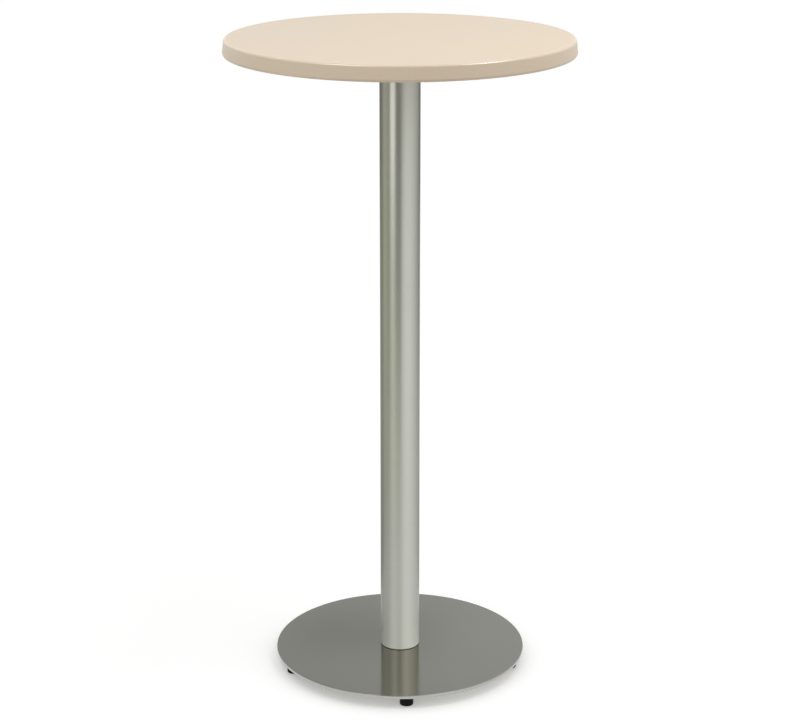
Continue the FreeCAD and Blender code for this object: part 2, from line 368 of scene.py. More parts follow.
def polar(group):
    """Radius and angle of each point about the Z axis, and its height."""
    place = group.add("GeometryNodeInputPosition")[0]
    parts = group.split(place)
    flat = group.vector(parts["X"], parts["Y"])
    radius = group.add("ShaderNodeVectorMath", {0: flat}, operation="LENGTH")["Value"]
    return radius, group.calc("ARCTAN2", parts["Y"], parts["X"]), parts["Z"]


def round_place(group, radius, turn, height=0.0):
    """The point at a radius, angle and height."""
    x = group.calc("MULTIPLY", radius, group.calc("COSINE", turn))
    y = group.calc("MULTIPLY", radius, group.calc("SINE", turn))
    return group.vector(x, y, height)


@shared("Turned Piece")
def turned_tree(name):
    """Geometry nodes for a turned piece: its profile goes round the Z axis."""
    group = shape_group(name, SWEEP_INPUTS)
    return finish_shape(group, swept_profile(group))


@shared("Fluted Piece")
def fluted_tree(name):
    """Geometry nodes for a turned piece with finger flutes above its plain foot."""
    lengths = ("Flute Radius", "Flute Depth", "Plain Foot")
    group = shape_group(name, {**SWEEP_INPUTS, "Flutes": INT}, lengths)
    given, calc = group.given, group.calc
    body = swept_profile(group)
    radius, turn, height = polar(group)
    # Distance of the point from the nearest flute's middle, along the rim.
    share = calc("DIVIDE", FULL_TURN, given["Flutes"])
    nearest = calc("MULTIPLY", calc("ROUND", calc("DIVIDE", turn, share)), share)
    aside = calc("MULTIPLY", calc("SUBTRACT", turn, nearest), given["Radius"])
    # The flute is a round hollow whose centre lies outside the rim.
    size = given["Flute Radius"]
    inside = calc("SUBTRACT", calc("MULTIPLY", size, size), calc("MULTIPLY", aside, aside))
    hollow = calc("SQRT", calc("MAXIMUM", inside, 0.0))
    centre = calc("ADD", given["Radius"], calc("SUBTRACT", size, given["Flute Depth"]))
    cut = calc("MINIMUM", radius, calc("SUBTRACT", centre, hollow))
    fluted = {
        "Geometry": body,
        "Selection": calc("GREATER_THAN", height, given["Plain Foot"]),
        "Position": round_place(group, cut, turn, height),
    }
    return finish_shape(group, group.add("GeometryNodeSetPosition", fluted)[0])


# Share of a threaded rod's rings that each of its two plain stretches gets.
PLAIN_SHARE = 0.04


@shared("Threaded Rod")
def threaded_tree(name):
    """Geometry nodes for a rod with a helical thread on one stretch."""
    lengths = ("Radius", "Low", "High", "Thread From", "Thread To", "Pitch", "Depth", "Chamfer")
    inputs = {"Geometry": GEOMETRY, "Rings": INT, "Segments": INT, "Material": MATERIAL}
    group = shape_group(name, inputs, lengths)
    given, calc = group.given, group.calc
    low, high, start, end = (given[label] for label in ("Low", "High", "Thread From", "Thread To"))
    sides = {"Vertices": given["Segments"], "Side Segments": given["Rings"], "Radius": 1.0, "Depth": 1.0}
    rod = group.add("GeometryNodeMeshCylinder", sides)["Mesh"]
    turn, along = polar(group)[1:]
    along = calc("ADD", along, 0.5)
    height = low
    for first, last, stretch_low, stretch_high in (
        (0.0, PLAIN_SHARE, low, start),
        (PLAIN_SHARE, 1 - PLAIN_SHARE, start, end),
        (1 - PLAIN_SHARE, 1.0, end, high),
    ):
        share = group.add("ShaderNodeMapRange", {"Value": along, "From Min": first, "From Max": last})[0]
        height = calc("MULTIPLY_ADD", share, calc("SUBTRACT", stretch_high, stretch_low), height)
    # Roots and crests follow the height and the turn together.
    phase = calc("SUBTRACT", calc("DIVIDE", height, given["Pitch"]), calc("DIVIDE", turn, FULL_TURN))
    root = calc("MULTIPLY", calc("PINGPONG", phase, 0.5), given["Depth"])
    in_thread = calc("MULTIPLY", calc("GREATER_THAN", height, start), calc("LESS_THAN", height, end))
    cut = calc("MULTIPLY", calc("MULTIPLY", root, 2.0), in_thread)
    to_end = calc("MINIMUM", calc("SUBTRACT", height, low), calc("SUBTRACT", high, height))
    eased = calc("ADD", calc("SUBTRACT", given["Radius"], given["Chamfer"]), to_end)
    radius = calc("MINIMUM", calc("SUBTRACT", given["Radius"], cut), eased)
    threaded = {"Geometry": rod, "Position": round_place(group, radius, turn, height)}
    return finish_shape(group, group.add("GeometryNodeSetPosition", threaded)[0])


# How much further each screw was driven round than the one before.
DRIVEN_STEP = 2.4


@shared("Cross-head Screws")
def screws_tree(name):
    """Geometry nodes for the cross-head screws: two on each arm of the spider."""
    lengths = ("Crown Level", "Recess Length", "Recess Width", "Recess Depth")
    lengths += ("First Arm", "Inner Circle", "Screw Pitch")
    group = shape_group(name, {**SWEEP_INPUTS, "Arms": INT}, lengths)
    given, calc = group.given, group.calc
    screw = swept_profile(group)
    depth = calc("MULTIPLY", given["Recess Depth"], 2.0)
    crown = group.vector(z=given["Crown Level"])
    for across, along in (("Recess Length", "Recess Width"), ("Recess Width", "Recess Length")):
        size = group.vector(given[across], given[along], depth)
        blade = group.add("GeometryNodeMeshCube", {"Size": size})["Mesh"]
        blade = group.add("GeometryNodeTransform", {"Geometry": blade, "Translation": crown})[0]
        cut = {"Mesh 1": screw, "Mesh 2": blade}
        screw = group.add("GeometryNodeMeshBoolean", cut, operation="DIFFERENCE")[0]
    number = group.add("GeometryNodeInputIndex")[0]
    arm = calc("FLOOR", calc("DIVIDE", number, 2.0))
    outer = calc("MODULO", number, 2.0)
    turn = calc("ADD", given["First Arm"], calc("MULTIPLY", arm, calc("DIVIDE", FULL_TURN, given["Arms"])))
    reach = calc("ADD", given["Inner Circle"], calc("MULTIPLY", outer, given["Screw Pitch"]))
    count = calc("MULTIPLY", given["Arms"], 2.0)
    points = group.add("GeometryNodePoints", {"Count": count, "Position": round_place(group, reach, turn)})[0]
    driven = group.vector(z=calc("MULTIPLY", number, DRIVEN_STEP))
    placed = {"Points": points, "Instance": screw, "Rotation": driven}
    return finish_shape(group, group.add("GeometryNodeInstanceOnPoints", placed)[0])


# A weld bead's sides, and how much its ripples swell and how thick it is between them.
BEAD_SIDES = 12
BEAD_RIPPLE = 0.13
BEAD_BODY = 0.87


@shared("Welded Bosses")
def bosses_tree(name):
    """Geometry nodes for the welded bosses: a turned boss and its bead, repeated on a circle."""
    lengths = ("Bead Radius", "Bead Level", "First Angle", "Circle")
    group = shape_group(name, {**SWEEP_INPUTS, "Ripples": INT, "Count": INT}, lengths)
    given, calc = group.given, group.calc
    boss = swept_profile(group)
    ring = ring_curve(group, given["Segments"], given["Radius"])
    lifted = {"Geometry": ring, "Offset": group.vector(z=given["Bead Level"])}
    ring = group.add("GeometryNodeSetPosition", lifted)[0]
    bead = ring_curve(group, BEAD_SIDES, given["Bead Radius"])
    wave = calc("SINE", calc("MULTIPLY", polar(group)[1], given["Ripples"]))
    swell = calc("MULTIPLY_ADD", wave, BEAD_RIPPLE, BEAD_BODY)
    weld = group.add("GeometryNodeCurveToMesh", {"Curve": ring, "Profile Curve": bead, "Scale": swell})[0]
    both = group.add("GeometryNodeJoinGeometry", {"Geometry": [boss, weld]})[0]
    number = group.add("GeometryNodeInputIndex")[0]
    turn = calc("MULTIPLY_ADD", number, calc("DIVIDE", FULL_TURN, given["Count"]), given["First Angle"])
    circle = {"Count": given["Count"], "Position": round_place(group, given["Circle"], turn)}
    points = group.add("GeometryNodePoints", circle)[0]
    placed = {"Points": points, "Instance": both}
    return finish_shape(group, group.add("GeometryNodeInstanceOnPoints", placed)[0])


# From trees and curves to pieces

def profile_curve(name, corners, radius, closed):
    """A profile for a sweep at a radius; a corner is (radius, height) or (radius, height, rounding)."""
    curve = bpy.data.curves.new(name, "CURVE")
    curve.dimensions = "3D"
    spline = curve.splines.new("POLY")
    spline.points.add(len(corners) - 1)
    spline.use_cyclic_u = closed
    for point, (out, height, *rounding) in zip(spline.points, corners):
        # The sweep lays a profile's X outwards and its Y downwards.
        point.co = (out - radius, -height, 0, 1)
        point.radius = rounding[0] if rounding else 0.0
    return curve


def plain_mesh(holder):
    """The evaluated mesh of a helper object, which is then removed."""
    depsgraph = bpy.context.evaluated_depsgraph_get()
    mesh = bpy.data.meshes.new_from_object(holder.evaluated_get(depsgraph), depsgraph=depsgraph)
    bpy.data.objects.remove(holder)
    return mesh


def linked(name, data):
    """A new object in the scene."""
    item = bpy.data.objects.new(name, data)
    bpy.context.scene.collection.objects.link(item)
    return item


def tree_mesh(name, data, tree, values):
    """The mesh that a geometry tree makes; values go to its inputs by name."""
    holder = linked(name, data)
    modifier = holder.modifiers.new(tree.name, "NODES")
    modifier.node_group = tree
    for item in tree.interface.items_tree:
        if item.in_out == "INPUT" and item.name in values:
            modifier[item.identifier] = values[item.name]
    return plain_mesh(holder)


def turned_mesh(name, corners, material, closed=False, segments=96, arc_steps=6, tree=None, **values):
    """A mesh turned from a profile, by the plain tree or by one that adds to it."""
    radius = max(corner[0] for corner in corners)
    values = {titled(label): value for label, value in values.items()}
    values.update({"Radius": radius, "Segments": segments, "Arc Steps": arc_steps, "Material": material})
    return tree_mesh(name, profile_curve(name, corners, radius, closed), tree or turned_tree(), values)


def add_piece(name, mesh, nodes, body=ROOT_BODY):
    """A finished piece: a closed mesh with its normals outwards, on its body and in its CAD nodes' place."""
    shape = bmesh.new()
    shape.from_mesh(mesh)
    bmesh.ops.remove_doubles(shape, verts=shape.verts, dist=SMALL_GAP)
    bmesh.ops.recalc_face_normals(shape, faces=shape.faces)
    shape.to_mesh(mesh)
    shape.free()
    mesh.shade_smooth()
    mesh.set_sharp_from_angle(angle=SHARP_ANGLE)
    holder = linked(name + "_raw", mesh)
    holder.modifiers.new("Normals", "WEIGHTED_NORMAL").keep_sharp = True
    piece = linked(name, plain_mesh(holder))
    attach(piece, body)
    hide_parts(*nodes)
    return piece


def dress_node(node, material):
    """Gives a CAD node whose shape is right its finish."""
    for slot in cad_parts[node].material_slots:
        slot.material = material


# Effects that the finishes share

def effect_group(name, inputs, outputs, socket_type=FLOAT):
    """An empty shader group whose inputs are all of one kind, and its place on the piece."""
    group = GroupWiring(
        name, "ShaderNodeTree", dict.fromkeys(inputs, socket_type), dict.fromkeys(outputs, FLOAT)
    )
    return group, group.given, group.place()


@shared("Streaks")
def streaks_group(name):
    """Shader group: fine streaks, from noise that is stretched along the surface."""
    group, given, place = effect_group(name, ["Stretch"], ["Streaks"], VECTOR)
    stretched = group.add("ShaderNodeVectorMath", {0: place, 1: given["Stretch"]}, operation="MULTIPLY")[0]
    return group.finish(Streaks=group.noise(stretched, scale=1.0, detail=4.0, roughness=0.62))


@shared("Mottle")
def mottle_group(name):
    """Shader group: a broad cloud and a fine speckle together."""
    group, given, place = effect_group(name, ["Broad", "Fine"], ["Cloud", "Speckle"])
    cloud = group.noise(place, given["Broad"], detail=3.0)
    return group.finish(Cloud=cloud, Speckle=group.noise(place, given["Fine"], detail=2.0))


@shared("Rim Wear")
def rim_wear_and_sheen_group(name):
    """Shader group: a band along a round edge, uneven along its length, for rubbing and painted sheen."""
    least_rubbed = 0.7
    group, given, place = effect_group(name, ["Rim Radius", "Band"], ["Wear"])
    near = group.near(group.reach(place), given["Rim Radius"], 0.0, given["Band"])
    uneven = group.mapped(group.noise(place, scale=6.0, detail=2.0), 0.3, 0.7, least_rubbed, 1.0)
    return group.finish(Wear=group.calc("MULTIPLY", near, uneven))


@shared("Scuffs")
def scuffs_group(name):
    """Shader group: hairline scuffs, which are thin cell walls that show only in patches."""
    bending = (0.09, 0.09, 0.09)
    group, given, place = effect_group(name, ["Density", "Thickness"], ["Scuffs"])
    bend = group.noise(place, scale=9.0, detail=2.0, output=1)
    bent = group.add("ShaderNodeVectorMath", {0: bend, 1: bending, 2: place}, operation="MULTIPLY_ADD")[0]
    cells = {"Vector": bent, "Scale": given["Density"]}
    walls = group.add("ShaderNodeTexVoronoi", cells, feature="DISTANCE_TO_EDGE")["Distance"]
    hairs = group.mapped(walls, 0.0, given["Thickness"], 1.0, 0.0)
    shown = group.mapped(group.noise(place, scale=7.0, detail=3.0), 0.54, 0.70)
    return group.finish(Scuffs=group.calc("MULTIPLY", hairs, shown))


# Finishes

def shade(base, factor):
    """A colour made lighter or darker."""
    return tuple(min(1.0, part * factor) for part in base)


class Finish(Wiring):
    """The wiring of one material, round its Principled BSDF."""

    def __init__(self, name, **values):
        self.material = bpy.data.materials.new(name)
        self.material.use_nodes = True
        super().__init__(self.material.node_tree)
        self.shader = self.tree.nodes["Principled BSDF"].inputs
        for label, value in values.items():
            self.shader[titled(label)].default_value = value

    def effect(self, group, **values):
        """The outputs of a shared group, placed here with its own values."""
        inputs = {titled(label): value for label, value in values.items()}
        return self.add("ShaderNodeGroup", inputs, node_tree=group)

    def mottle(self, broad, fine):
        """The cloud and the speckle."""
        outputs = self.effect(mottle_group(), broad=broad, fine=fine)
        return outputs["Cloud"], outputs["Speckle"]

    def scuffs(self, density, thickness):
        """Hairline scuffs."""
        return self.effect(scuffs_group(), density=density, thickness=thickness)["Scuffs"]

    def wear(self, rim_radius, band):
        """A band along a round edge, for rubbing and painted sheen."""
        return self.effect(rim_wear_and_sheen_group(), rim_radius=rim_radius, band=band)["Wear"]

    def finish(self, base, roughness, height, relief):
        """Connects the colour, the roughness and a fine relief, and hands over the material."""
        bump = self.add("ShaderNodeBump", {"Height": height, "Distance": relief})[0]
        for label, socket in (("Base Color", base), ("Roughness", roughness), ("Normal", bump)):
            self.feed(self.shader[label], socket)
        return self.material


def laminate_material(base, rim_radius):
    """Satin laminate with a fine moulded grain, faint clouds, and a rubbed rim whose paler band is partly a
    painted highlight.
    """
    satin = (0.36, 0.44)
    rub_and_highlight_lightens = 0.3
    rub_smooths = -0.24
    scuff_roughens = 0.06
    finish = Finish("cream_laminate")
    cloud, speckle = finish.mottle(broad=5.0, fine=900.0)
    wear = finish.wear(rim_radius, band=0.004)
    scuffs = finish.scuffs(density=7.0, thickness=0.006)
    tone = finish.mixed(finish.mapped(cloud, 0.3, 0.7), shade(base, 0.975), shade(base, 1.015))
    tone = finish.mixed(finish.mapped(speckle, 0.35, 0.75, 0.0, 0.5), tone, shade(base, 0.93))
    # The rim's band is lighter: partly rubbing, partly a painted highlight along the upper rounding.
    tone = finish.mixed(finish.calc("MULTIPLY", wear, rub_and_highlight_lightens), tone, shade(base, 1.1))
    rough = finish.mapped(cloud, 0.25, 0.75, *satin)
    rough = finish.calc("MULTIPLY_ADD", scuffs, scuff_roughens, rough)
    rough = finish.calc("MULTIPLY_ADD", wear, rub_smooths, rough)
    return finish.finish(tone, rough, speckle, relief=0.00004)


def backing_material(base):
    """Dull backing sheet on the underside of the top."""
    dull = (0.55, 0.75)
    finish = Finish("backing_sheet")
    cloud, speckle = finish.mottle(broad=12.0, fine=500.0)
    tone = finish.mixed(cloud, shade(base, 0.86), shade(base, 1.1))
    tone = finish.mixed(finish.mapped(speckle, 0.5, 0.75, 0.0, 0.6), tone, shade(base, 0.72))
    return finish.finish(tone, finish.mapped(speckle, 0.2, 0.8, *dull), speckle, relief=0.00012)


def ground_steel_material(name, base, stretch, roughness, relief, rim=None, foot=None, **values):
    """Stainless steel ground in one way, with a few scuffs; painted reflection lightens a disc's rim, painted
    shade darkens a tube's foot.
    """
    uneven = 0.14
    scuff_roughens = 0.07
    scuff_depth = -0.4
    rim_painted_sheen = (0.48, 0.476, 0.449)
    foot_shade_darkens = 0.12
    finish = Finish(name, **values)
    streaks = finish.effect(streaks_group(), stretch=stretch)["Streaks"]
    cloud = finish.effect(mottle_group(), broad=7.0)["Cloud"]
    scuffs = finish.scuffs(density=11.0, thickness=0.005)
    tone = finish.mixed(finish.mapped(streaks, 0.3, 0.7), shade(base, 0.965), shade(base, 1.03))
    tone = finish.mixed(finish.mapped(cloud, 0.35, 0.75, 0.0, 0.35), tone, shade(base, 0.94))
    rough = finish.mapped(streaks, 0.25, 0.75, roughness * (1 - uneven), roughness * (1 + uneven))
    rough = finish.calc("MULTIPLY_ADD", scuffs, scuff_roughens, rough)
    # Painted reflection: a paler band along the disc's edge, standing in for its mirror image of the bright
    # floor.
    if rim:
        wear = finish.mapped(finish.wear(rim, band=0.0016), 0.0, 0.6)
        tone = finish.mixed(wear, tone, rim_painted_sheen)
    # Painted shade: a dark line at the tube's foot, standing in for the shade in its joint with the disc.
    if foot:
        painted_foot_shade = finish.mapped(finish.split(finish.place())["Z"], *foot, 1.0, 0.0)
        tone = finish.mixed(painted_foot_shade, tone, shade(base, foot_shade_darkens))
    return finish.finish(tone, rough, finish.calc("MULTIPLY_ADD", scuffs, scuff_depth, streaks), relief)


def powder_coat_material(base):
    """Black powder coat with its fine peel."""
    peel = (0.38, 0.55)
    scuffed = (0.16, 0.16, 0.16)
    finish = Finish("black_powder_coat")
    cloud, speckle = finish.mottle(broad=18.0, fine=1300.0)
    scuffs = finish.scuffs(density=26.0, thickness=0.012)
    tone = finish.mixed(cloud, shade(base, 0.85), shade(base, 1.25))
    tone = finish.mixed(finish.calc("MULTIPLY", scuffs, 0.35), tone, scuffed)
    return finish.finish(tone, finish.mapped(speckle, 0.2, 0.8, *peel), speckle, relief=0.00014)


def zinc_material(base):
    """Bright zinc plate with its cloudy bloom."""
    found = bpy.data.materials.get("zinc_plate")
    if found:
        return found
    bright = (0.26, 0.40)
    bloom = (base[0] * 1.03, base[1] * 0.99, base[2] * 0.90)
    finish = Finish("zinc_plate", metallic=1.0)
    cloud, speckle = finish.mottle(broad=160.0, fine=1500.0)
    scuffs = finish.scuffs(density=120.0, thickness=0.03)
    tone = finish.mixed(finish.mapped(cloud, 0.35, 0.65), base, bloom)
    tone = finish.mixed(finish.calc("MULTIPLY", scuffs, 0.4), tone, shade(base, 0.7))
    return finish.finish(tone, finish.mapped(speckle, 0.2, 0.8, *bright), speckle, relief=0.00003)


def nylon_material(base):
    """Black moulded nylon, dull and a little cloudy."""
    dull = (0.42, 0.58)
    finish = Finish("black_nylon")
    finish.shader["Specular IOR Level"].default_value = 0.15
    cloud, speckle = finish.mottle(broad=90.0, fine=1600.0)
    tone = finish.mixed(cloud, shade(base, 0.8), shade(base, 1.35))
    return finish.finish(tone, finish.mapped(speckle, 0.2, 0.8, *dull), speckle, relief=0.00004)


# Stage

# Overhead lamps: name, place, how many times wider than high, and share of the power.
LAMPS = (
    ("lamp_left", (-0.60, -0.61, 2.22), 1.5, 0.5),
    ("lamp_right", (0.8, -0.2, 2.2), 1.8, 1.0),
)
FLOOR_RADIUS = 90.0
FLOOR_LEVEL = -0.0003

# Cards in the tent: bearing from the camera's side in degrees, inner and outer half-width, and tone.
UPPER_CARDS = ((-94, 8, 27, 0.38), (44, 0, 106, 1.09), (-45, 4, 22, 0.47), (-11, 11, 28, 0.0))
LOWER_CARDS = ((-126, 8, 26, 0.08), (-38, 4, 48, 0.58), (50, 4, 112, 0.87), (-21, 5, 30, 0.60))
STRIP_CARDS = ((-82, 10, 30, 0.50), (-40, 6, 22, 3.1))
TOP_CARDS = ((62, 30, 70, 0.72), (6, 8, 28, 0.0))
# Tones of the bare cloth, and the levels between which each set of cards takes over from the one below.
UPPER_CLOTH = 0.08
LOWER_CLOTH = 0.26
UPPER_RISE = (0.0, 0.55)
STRIP_RISE = (0.74, 1.02)
TOP_RISE = (0.92, 1.04)
# The wall opposite the camera: its bearing and half-widths, levels where it ends, tones from left to right,
# and a darker patch on it by its place across and up, each as a centre with an inner and outer distance.
BACK_WALL = (180, 18, 44)
BACK_END = (0.58, 0.72)
BACK_SPAN = (-0.45, 0.45)
BACK_TONES = (0.53, 0.68)
PATCH_ACROSS = (-0.07, 0.06, 0.24)
PATCH_UP = (0.41, 0.01, 0.08)
PATCH_TONE = -0.11
# On the tent's floor: a white ring that the disc's edge mirrors, and a paler stretch round the column.
WHITE_RING = (0.275, 0.025, 0.06)
FOOT_STRETCH = (0.05, 0.21)
FOOT_TONE = 0.16
# Tints: an olive stretch beside the table and a paler one before it, the wall opposite the camera, and the
# floor beyond the disc.  The olive stretches are louvred, and show only to what stands higher.
LOUVRE_FALL = (0.0, 0.1)
OLIVE_WALL = (-104, 14, 42)
OLIVE_UP = (0.36, 0.32, 0.62)
OLIVE_TINT = (1.0, 1.10, 0.40)
PALE_WALL = (-32, 24, 48)
PALE_UP = (0.28, 0.20, 0.36)
PALE_TINT = (1.0, 1.03, 0.55)
BACK_TINT = (1.0, 1.02, 1.09)
COOL_REACH = (0.2, 0.4)
COOL_TINT = (1.0, 1.0, 1.10)
# The tent's floor lies just over the real one, and its upper edge just inside the table top's rim.
TENT_LEVEL = -0.0001
TENT_INSET = 0.015
TENT_DROP = 0.012


def bare_wiring(owner):
    """The emptied wiring of a material or a world."""
    owner.use_nodes = True
    owner.node_tree.nodes.clear()
    return Wiring(owner.node_tree)


def seen_directly(wires):
    """1 for rays that show the background itself: to the camera, in a mirror or through glass."""
    path = wires.add("ShaderNodeLightPath")
    share = wires.calc("MAXIMUM", path["Is Camera Ray"], path["Is Glossy Ray"])
    return wires.calc("MAXIMUM", share, path["Is Transmission Ray"])


def add_camera(scene, settings):
    """The photographer's place."""
    camera = linked("camera", bpy.data.cameras.new("camera"))
    camera.data.lens = settings.lens
    camera.location = (0.0, -settings.camera_distance, settings.camera_height)
    camera.rotation_euler = (math.pi / 2 - settings.camera_pitch, 0.0, 0.0)
    scene.camera = camera


def add_sky(scene, settings):
    """Soft light from all round, stronger from above; what is seen of it is white."""
    scene.world = bpy.data.worlds.new("soft_light")
    wires = bare_wiring(scene.world)
    direction = wires.add("ShaderNodeTexCoord")["Generated"]
    height = wires.calc("MAXIMUM", wires.split(direction)["Z"], 0.0)
    gain = wires.calc("MULTIPLY", wires.calc("MULTIPLY", height, height), settings.sky_high)
    strength = wires.calc("ADD", gain, settings.sky_low)
    light = wires.add("ShaderNodeBackground", {"Color": (*WHITE, 1.0), "Strength": strength})[0]
    white = wires.add("ShaderNodeBackground", {"Color": (*WHITE, 1.0)})[0]
    both = wires.add("ShaderNodeMixShader", {0: seen_directly(wires), 1: light, 2: white})[0]
    wires.add("ShaderNodeOutputWorld", {"Surface": both})


def add_lamps(settings):
    """Two soft lamps overhead and, in the same places, their stronger glints on the rim's upper edge."""
    for name, place, width, share in LAMPS:
        soft = add_lamp(name, place, settings.lamp_size, width, settings.lamp_power * share)
        soft.visible_glossy = False
        glint = add_lamp(name + "_glint", place, settings.lamp_size, width, settings.glint_power * width)
        glint.visible_diffuse = False


def add_lamp(name, place, size, width, watts):
    """A flat lamp that faces the table top."""
    data = bpy.data.lights.new(name, "AREA")
    data.shape = "RECTANGLE"
    data.size = size * width
    data.size_y = size
    data.energy = watts
    lamp = linked(name, data)
    lamp.location = place
    aim = Vector((0.0, 0.0, low_high("table_top")[1])) - Vector(place)
    lamp.rotation_euler = aim.to_track_quat("-Z", "Y").to_euler()
    lamp.visible_camera = False
    return lamp


def add_floor(settings):
    """A wide white floor that keeps the table's shadow and is clear from below."""
    shape = bmesh.new()
    bmesh.ops.create_circle(shape, cap_ends=True, segments=64, radius=FLOOR_RADIUS)
    mesh = bpy.data.meshes.new("floor")
    shape.to_mesh(mesh)
    shape.free()
    mesh.transform(Matrix.Translation((0.0, 0.0, FLOOR_LEVEL)))
    material = bpy.data.materials.new("white_floor")
    wires = bare_wiring(material)
    shown = seen_directly(wires)
    tone = wires.mixed(shown, (settings.floor_bounce,) * 3, (settings.floor_tone,) * 3)
    cloth = wires.add("ShaderNodeBsdfDiffuse", {"Color": tone})[0]
    lift = wires.calc("MULTIPLY", shown, settings.floor_lift)
    glow = wires.add("ShaderNodeEmission", {"Strength": lift})[0]
    lit = wires.add("ShaderNodeAddShader", {0: cloth, 1: glow})[0]
    clear = wires.add("ShaderNodeBsdfTransparent")[0]
    below = wires.add("ShaderNodeNewGeometry")["Backfacing"]
    both = wires.add("ShaderNodeMixShader", {0: below, 1: lit, 2: clear})[0]
    wires.add("ShaderNodeOutputMaterial", {"Surface": both})
    material.cycles.emission_sampling = "NONE"
    mesh.materials.append(material)
    return linked("floor", mesh)


def lobe(wires, bearing, centre, inner, outer):
    """1 within an inner angle of a bearing, fading to 0 at an outer one."""
    return wires.near(bearing, math.radians(centre), math.radians(inner), math.radians(outer))


def with_cards(wires, bearing, tone, cards):
    """The tone of the tent at a bearing, with cards in front of its cloth."""
    for centre, inner, outer, card in cards:
        tone = wires.blended(lobe(wires, bearing, centre, inner, outer), tone, card)
    return tone


def wire_tent(material):
    """The tent's cloth: cards round its walls, one set above another, a plain back wall and a pale floor."""
    wires = bare_wiring(material)
    calc = wires.calc
    place = wires.place()
    parts = wires.split(place)
    up = parts["Z"]
    bearing = calc("ARCTAN2", parts["X"], calc("MULTIPLY", parts["Y"], -1.0))
    upper = with_cards(wires, bearing, UPPER_CLOTH, UPPER_CARDS)
    for rise, cards in ((STRIP_RISE, STRIP_CARDS), (TOP_RISE, TOP_CARDS)):
        upper = wires.blended(wires.mapped(up, *rise), upper, with_cards(wires, bearing, upper, cards))
    lower = with_cards(wires, bearing, LOWER_CLOTH, LOWER_CARDS)
    tone = wires.blended(wires.mapped(up, *UPPER_RISE), lower, upper)
    patch = calc("MULTIPLY", wires.near(parts["X"], *PATCH_ACROSS), wires.near(up, *PATCH_UP))
    back_tone = wires.mapped(parts["X"], *BACK_SPAN, *BACK_TONES)
    back_tone = calc("MULTIPLY_ADD", patch, PATCH_TONE, back_tone)
    above_floor = calc("GREATER_THAN", up, SMALL_GAP)
    back = calc("MULTIPLY", lobe(wires, calc("ABSOLUTE", bearing), *BACK_WALL), above_floor)
    back = calc("MULTIPLY", back, wires.mapped(up, *BACK_END, 1.0, 0.0))
    tone = wires.blended(back, tone, back_tone)
    reach = wires.reach(place)
    tone = wires.blended(wires.near(reach, *WHITE_RING), tone, 1.0)
    tone = calc("ADD", tone, wires.mapped(reach, *FOOT_STRETCH, FOOT_TONE, 0.0))
    fall = wires.split(wires.add("ShaderNodeNewGeometry")["Incoming"])["Z"]
    from_above = calc("MULTIPLY", wires.mapped(fall, *LOUVRE_FALL), above_floor)
    tint = WHITE
    for wall, height, olive in ((OLIVE_WALL, OLIVE_UP, OLIVE_TINT), (PALE_WALL, PALE_UP, PALE_TINT)):
        shown = calc("MULTIPLY", lobe(wires, bearing, *wall), wires.near(up, *height))
        tint = wires.mixed(calc("MULTIPLY", shown, from_above), tint, olive)
    tint = wires.mixed(back, tint, BACK_TINT)
    cool = calc("SUBTRACT", wires.mapped(reach, *COOL_REACH), above_floor)
    tint = wires.mixed(calc("MAXIMUM", cool, 0.0), tint, COOL_TINT)
    glow = wires.add("ShaderNodeEmission", {"Color": tint, "Strength": tone})[0]
    wires.add("ShaderNodeOutputMaterial", {"Surface": glow})
    material.cycles.emission_sampling = "NONE"


def add_tent(settings):
    """A cloth tent that only the metal mirrors, from the floor to just under the table top's rim."""
    material = bpy.data.materials.new("tent_cloth")
    corners = [
        (0.0, TENT_LEVEL),
        (settings.tent_radius, TENT_LEVEL),
        (settings.tent_radius, settings.tent_shoulder),
        (half_width("table_top") - TENT_INSET, low_high("table_top")[0] - TENT_DROP),
    ]
    tent = linked("tent", turned_mesh("tent", corners, material, segments=128))
    wire_tent(material)
    for kind in ("camera", "diffuse", "shadow", "transmission", "volume_scatter"):
        setattr(tent, "visible_" + kind, False)
    return tent


# Operators

class PUBTABLE_OT_stage(bpy.types.Operator):
    """Sets up the camera, the white floor and the soft light"""

    bl_idname = "pub_table.add_stage"
    bl_label = "Stage"

    def execute(self, context):
        settings = context.scene.pub_table.stage
        context.scene.view_settings.view_transform = "Standard"
        add_camera(context.scene, settings)
        add_sky(context.scene, settings)
        add_lamps(settings)
        add_floor(settings)
        add_tent(settings)
        return {"FINISHED"}


class PUBTABLE_OT_table_top(bpy.types.Operator):
    """Builds the moulded round top"""

    bl_idname = "pub_table.add_table_top"
    bl_label = "Table Top"

    def execute(self, context):
        settings = context.scene.pub_table.table_top
        low, high = low_high("table_top")
        high -= FIT_GAP
        radius = half_width("table_top")
        field = low_high("spider")[1]
        recess = radius - settings.rim_width
        corners = [
            (0.0, high),
            (radius - settings.side_draft, high, settings.upper_rounding),
            (radius, low, settings.lower_rounding),
            (recess, low, settings.recess_rounding),
            (recess - settings.recess_slope, field, settings.recess_rounding),
            (0.0, field),
        ]
        edge = radius - settings.side_draft - settings.upper_rounding / 2
        face = laminate_material(settings.face_colour, edge)
        mesh = turned_mesh("table_top", corners, face, segments=256, arc_steps=10)
        mesh.materials.append(backing_material(settings.back_colour))
        back = len(mesh.materials) - 1
        for polygon in mesh.polygons:
            if polygon.center.xy.length < recess and polygon.center.z < (field + high) / 2:
                polygon.material_index = back
        add_piece("table_top_moulded", mesh, ["table_top"])
        return {"FINISHED"}


class PUBTABLE_OT_spider(bpy.types.Operator):
    """Builds the four-armed spider under the top"""

    bl_idname = "pub_table.add_spider"
    bl_label = "Spider"

    def execute(self, context):
        settings = context.scene.pub_table.spider
        mesh = spider_mesh(settings)
        mesh.materials.append(powder_coat_material(settings.paint_colour))
        add_piece("spider_pressed", mesh, ["spider"])
        return {"FINISHED"}


def arc_points(centre, radius, start, end, steps):
    """Points along an arc, ends included."""
    turns = [start + (end - start) * step / steps for step in range(steps + 1)]
    return [(centre[0] + radius * math.cos(turn), centre[1] + radius * math.sin(turn)) for turn in turns]


